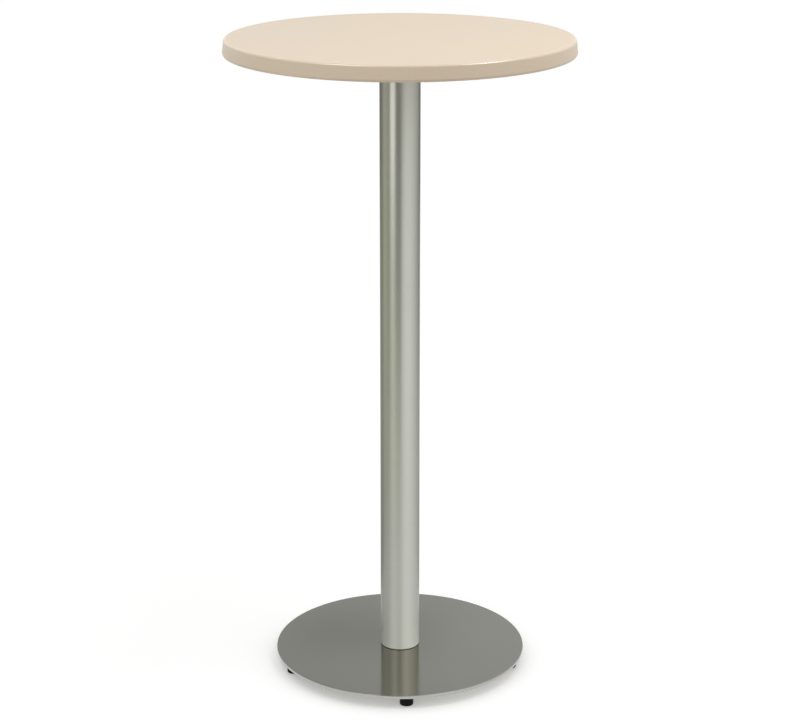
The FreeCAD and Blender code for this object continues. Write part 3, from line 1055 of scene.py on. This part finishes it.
def spider_mesh(settings):
    """The spider's outline, thickened, with eased edges."""
    low, high = low_high("spider")
    half = settings.arm_width / 2
    # The box of a cross on the diagonals gives the reach of its arms' round tips.
    reach = (half_width("spider") - half) / math.cos(FIRST_ARM)
    fillet = settings.root_fillet
    beside = half + fillet
    ahead = math.sqrt((settings.centre_radius + fillet) ** 2 - beside ** 2)
    root = math.atan2(beside, ahead)
    quarter = math.pi / 2
    arm = arc_points((ahead, -beside), fillet, math.pi - root, quarter, 8)
    arm += arc_points((reach, 0.0), half, -quarter, quarter, 24)
    arm += arc_points((ahead, beside), fillet, -quarter, root - math.pi, 8)
    arm += arc_points((0.0, 0.0), settings.centre_radius, root, FULL_TURN / ARM_COUNT - root, 8)[1:-1]
    outline = [
        Matrix.Rotation(FIRST_ARM + number * FULL_TURN / ARM_COUNT, 2) @ Vector(point)
        for number in range(ARM_COUNT)
        for point in arm
    ]
    curve = bpy.data.curves.new("spider_outline", "CURVE")
    curve.dimensions = "2D"
    curve.fill_mode = "BOTH"
    curve.extrude = (high - low) / 2 - settings.edge_rounding
    curve.bevel_depth = settings.edge_rounding
    curve.bevel_resolution = 2
    curve.offset = -settings.edge_rounding
    spline = curve.splines.new("POLY")
    spline.points.add(len(outline) - 1)
    spline.use_cyclic_u = True
    for point, place in zip(spline.points, outline):
        point.co = (place.x, place.y, 0, 1)
    mesh = plain_mesh(linked("spider_outline", curve))
    mesh.transform(Matrix.Translation((0.0, 0.0, (low + high) / 2)))
    return mesh


# A screw head's edges: under the head, at its rim and round its crown, which is a share of its width.
HEAD_SEAT_EDGE = 0.0002
HEAD_RIM_EDGE = 0.0012
HEAD_CROWN_EDGE = 0.0018
CROWN_SHARE = 0.62


class PUBTABLE_OT_top_screws(bpy.types.Operator):
    """Builds the eight screws that hold the spider to the top"""

    bl_idname = "pub_table.add_top_screws"
    bl_label = "Top Screws"

    def execute(self, context):
        settings = context.scene.pub_table.hardware
        low, high = low_high("top_screws")
        head = settings.screw_head_radius
        shank = settings.screw_shank_radius
        seat = low + settings.screw_head_height
        # The outer screws reach as far out as the group's box.
        outer = (half_width("top_screws") - head) / math.cos(FIRST_ARM)
        corners = [
            (0.0, high),
            (shank, high - 2 * shank),
            (shank, seat),
            (head, seat, HEAD_SEAT_EDGE),
            (head, seat - settings.screw_head_rim, HEAD_RIM_EDGE),
            (head * CROWN_SHARE, low, HEAD_CROWN_EDGE),
            (0.0, low),
        ]
        mesh = turned_mesh(
            "top_screws",
            corners,
            zinc_material(settings.zinc_colour),
            segments=40,
            tree=screws_tree(),
            crown_level=low,
            recess_length=settings.slot_length,
            recess_width=settings.slot_width,
            recess_depth=settings.slot_depth,
            arms=ARM_COUNT,
            first_arm=FIRST_ARM,
            inner_circle=outer - settings.screw_pitch,
            screw_pitch=settings.screw_pitch,
        )
        add_piece("top_screws_crosshead", mesh, ["top_screws"])
        return {"FINISHED"}


# The painted shade line at the column's foot starts and ends at these shares of its eased edge.
FOOT_SHADE_LINE = (0.8, 1.2)


class PUBTABLE_OT_column(bpy.types.Operator):
    """Builds the steel column"""

    bl_idname = "pub_table.add_column"
    bl_label = "Column"

    def execute(self, context):
        settings = context.scene.pub_table.column
        low, high = low_high("column_tube")
        outer = half_width("column_tube")
        inner = outer - settings.wall
        eased = settings.end_chamfer
        corners = [
            (inner, high),
            (outer - eased, high),
            (outer, high - eased),
            (outer, low + eased),
            (outer - eased, low),
            (inner, low),
        ]
        steel = ground_steel_material(
            "ground_steel_column",
            settings.steel_colour,
            stretch=(26.0, 26.0, 2600.0),
            roughness=0.35,
            relief=0.000012,
            foot=[low + eased * share for share in FOOT_SHADE_LINE],
            metallic=0.55,
            anisotropic=0.85,
            anisotropic_rotation=0.25,
        )
        mesh = turned_mesh("column", corners, steel, closed=True, segments=160)
        add_piece("column_ground", mesh, ["column_tube"])
        return {"FINISHED"}


class PUBTABLE_OT_base_plate(bpy.types.Operator):
    """Builds the steel disc on the floor"""

    bl_idname = "pub_table.add_base_plate"
    bl_label = "Base Plate"

    def execute(self, context):
        settings = context.scene.pub_table.base_plate
        low, high = low_high("base_plate")
        radius = half_width("base_plate")
        corners = [
            (settings.hole_radius, high),
            (radius, high, settings.edge_rounding),
            (radius, low, settings.edge_rounding),
            (settings.hole_radius, low),
        ]
        steel = ground_steel_material(
            "ground_steel_disc",
            settings.steel_colour,
            stretch=(16.0, 1500.0, 300.0),
            roughness=0.13,
            relief=0.000004,
            rim=radius,
            metallic=0.8,
        )
        mesh = turned_mesh("base_plate", corners, steel, closed=True, segments=256, arc_steps=5)
        plate = add_piece("base_plate_ground", mesh, ["base_plate"])
        # The column's satin finish shows no image of the disc.
        plate.visible_glossy = False
        return {"FINISHED"}


# A thread's depth as a share of its pitch, and the rings of mesh in each turn of it.
THREAD_DEPTH = 0.61
THREAD_RINGS = 12


def threaded_mesh(name, radius, ends, threaded, pitch, chamfer, material):
    """A rod between two levels, with a thread between two others."""
    values = {
        "Radius": radius,
        "Low": ends[0],
        "High": ends[1],
        "Thread From": threaded[0],
        "Thread To": threaded[1],
        "Pitch": pitch,
        "Depth": pitch * THREAD_DEPTH,
        "Chamfer": chamfer,
        "Rings": int(THREAD_RINGS * (threaded[1] - threaded[0]) / pitch),
        "Segments": 48,
        "Material": material,
    }
    return tree_mesh(name, bpy.data.meshes.new(name), threaded_tree(), values)


ZINC_NODES = ("tie_rod_nut", "tie_rod_washer", "tie_rod_spring_washer", "column_locator", "spider_hub")


class PUBTABLE_OT_tie_rod(bpy.types.Operator):
    """Builds the tie rod, and finishes the nut, washers and the hidden centring pieces"""

    bl_idname = "pub_table.add_tie_rod"
    bl_label = "Tie Rod"

    def execute(self, context):
        settings = context.scene.pub_table.hardware
        zinc = zinc_material(settings.zinc_colour)
        ends = low_high("tie_rod")
        chamfer = settings.rod_chamfer
        threaded = (ends[0] + chamfer, low_high("tie_rod_washer")[1])
        radius = half_width("tie_rod")
        mesh = threaded_mesh("tie_rod", radius, ends, threaded, settings.rod_pitch, chamfer, zinc)
        add_piece("tie_rod_threaded", mesh, ["tie_rod"])
        for node in ZINC_NODES:
            dress_node(node, zinc)
        return {"FINISHED"}


class PUBTABLE_OT_glides(bpy.types.Operator):
    """Builds the five levelling glides: bosses, studs and pads"""

    bl_idname = "pub_table.add_glides"
    bl_label = "Levelling Glides"

    def execute(self, context):
        settings = context.scene.pub_table
        add_bosses(settings.glides, bpy.data.materials["ground_steel_disc"])
        zinc = zinc_material(settings.hardware.zinc_colour)
        nylon = nylon_material(settings.glides.nylon_colour)
        for number in GLIDE_NUMBERS:
            add_stud(number, settings.glides, settings.hardware.stud_pitch, zinc)
            add_pad(number, settings.glides, nylon)
        return {"FINISHED"}


# How deep a weld bead sinks into the disc, as a share of its size, and its ripples.
BEAD_SINK = 0.4
BEAD_RIPPLES = 22


def add_bosses(settings, steel):
    """The welded bosses under the disc."""
    low, high = low_high("glide_bosses")
    places = [middle("glide_pad_%d" % number) for number in GLIDE_NUMBERS]
    # The foremost boss stands as far out from its pad's middle as the group's box does.
    radius = min(place.y for place in places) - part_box("glide_bosses")[0].y
    bore = settings.stud_radius + settings.bore_clearance
    corners = [
        (bore, high),
        (radius, high),
        (radius, low + settings.boss_chamfer),
        (radius - settings.boss_chamfer, low),
        (bore, low),
    ]
    mesh = turned_mesh(
        "glide_bosses",
        corners,
        steel,
        closed=True,
        segments=64,
        tree=bosses_tree(),
        bead_radius=settings.weld_radius,
        bead_level=high - settings.weld_radius * BEAD_SINK,
        ripples=BEAD_RIPPLES,
        count=len(places),
        first_angle=math.atan2(places[0].y, places[0].x),
        circle=sum(place.xy.length for place in places) / len(places),
    )
    add_piece("glide_bosses_welded", mesh, ["glide_bosses"])


def moved_to(mesh, node):
    """A mesh moved from the Z axis to a solid's own axis."""
    mesh.transform(Matrix.Translation((*middle(node).xy, 0.0)))
    return mesh


def add_stud(number, settings, pitch, zinc):
    """One stud on its own body: a flat head, and a shank that is threaded above the pad."""
    node = "glide_stud_%d" % number
    low, high = low_high(node)
    head_top = low + settings.stud_head_height
    head_radius = half_width(node)
    chamfer = settings.stud_end_chamfer
    corners = [
        (0.0, head_top),
        (head_radius, head_top, settings.socket_clearance),
        (head_radius, low, settings.socket_clearance),
        (0.0, low),
    ]
    head = turned_mesh(node + "_head", corners, zinc, segments=64)
    ends = ((low + head_top) / 2, high)
    threaded = (low_high("glide_pad_%d" % number)[1], high - chamfer)
    shank = threaded_mesh(node + "_shank", settings.stud_radius, ends, threaded, pitch, chamfer, zinc)
    both = bmesh.new()
    both.from_mesh(head)
    both.from_mesh(shank)
    both.to_mesh(head)
    both.free()
    mesh = moved_to(head, node)
    add_piece("%s_threaded" % node, mesh, [node], body="stud_%d" % number)


# Height of the step from a pad's plain foot to its flutes.
FLUTE_STEP = 0.0001


def add_pad(number, settings, nylon):
    """One pad, fluted for the fingers, on its own body."""
    node = "glide_pad_%d" % number
    stud = "glide_stud_%d" % number
    low, high = low_high(node)
    radius = half_width(node)
    bore = settings.stud_radius + settings.bore_clearance
    pocket = half_width(stud) + settings.socket_clearance
    pocket_low = low_high(stud)[0] - settings.socket_clearance
    pocket_high = pocket_low + settings.stud_head_height + 2 * settings.socket_clearance
    foot = low + settings.plain_foot
    corners = [
        (0.0, pocket_low),
        (pocket, pocket_low),
        (pocket, pocket_high),
        (bore, pocket_high),
        (bore, high),
        (radius, high, settings.pad_upper_rounding),
        (radius, foot + FLUTE_STEP),
        (radius, foot),
        (radius, low, settings.pad_lower_rounding),
        (0.0, low),
    ]
    mesh = turned_mesh(
        node,
        corners,
        nylon,
        segments=288,
        arc_steps=5,
        tree=fluted_tree(),
        flutes=settings.flute_count,
        flute_radius=settings.flute_radius,
        flute_depth=settings.flute_depth,
        plain_foot=foot + FLUTE_STEP / 2,
    )
    mesh = moved_to(mesh, node)
    add_piece("%s_fluted" % node, mesh, [node], body="pad_%d" % number)


class PUBTABLE_PT_panel(bpy.types.Panel):
    """Lists the table's pieces and their settings"""

    bl_idname = "PUBTABLE_PT_panel"
    bl_label = "Pub Table"
    bl_space_type = "VIEW_3D"
    bl_region_type = "UI"
    bl_category = "Pub Table"

    def draw(self, context):
        for operator in OPERATORS:
            self.layout.operator(operator.bl_idname)
        for part in PubTableSettings.__annotations__:
            group = getattr(context.scene.pub_table, part)
            box = self.layout.box()
            for name in group.__annotations__:
                box.prop(group, name)


OPERATORS = (
    PUBTABLE_OT_stage,
    PUBTABLE_OT_table_top,
    PUBTABLE_OT_spider,
    PUBTABLE_OT_top_screws,
    PUBTABLE_OT_column,
    PUBTABLE_OT_base_plate,
    PUBTABLE_OT_tie_rod,
    PUBTABLE_OT_glides,
)
CLASSES = (
    TableTopSettings,
    ColumnSettings,
    BasePlateSettings,
    SpiderSettings,
    HardwareSettings,
    GlideSettings,
    StageSettings,
    PubTableSettings,
    *OPERATORS,
    PUBTABLE_PT_panel,
)


def register():
    """Makes the settings, operators and panel known."""
    for kind in CLASSES:
        bpy.utils.register_class(kind)
    bpy.types.Scene.pub_table = PointerProperty(type=PubTableSettings)


def unregister():
    """Takes them away again."""
    del bpy.types.Scene.pub_table
    for kind in reversed(CLASSES):
        bpy.utils.unregister_class(kind)


def main():
    """Builds everything in order."""
    register()
    bpy.ops.pub_table.add_stage()
    bpy.ops.pub_table.add_table_top()
    bpy.ops.pub_table.add_spider()
    bpy.ops.pub_table.add_top_screws()
    bpy.ops.pub_table.add_column()
    bpy.ops.pub_table.add_base_plate()
    bpy.ops.pub_table.add_tie_rod()
    bpy.ops.pub_table.add_glides()


if __name__ == "__main__":
    main()
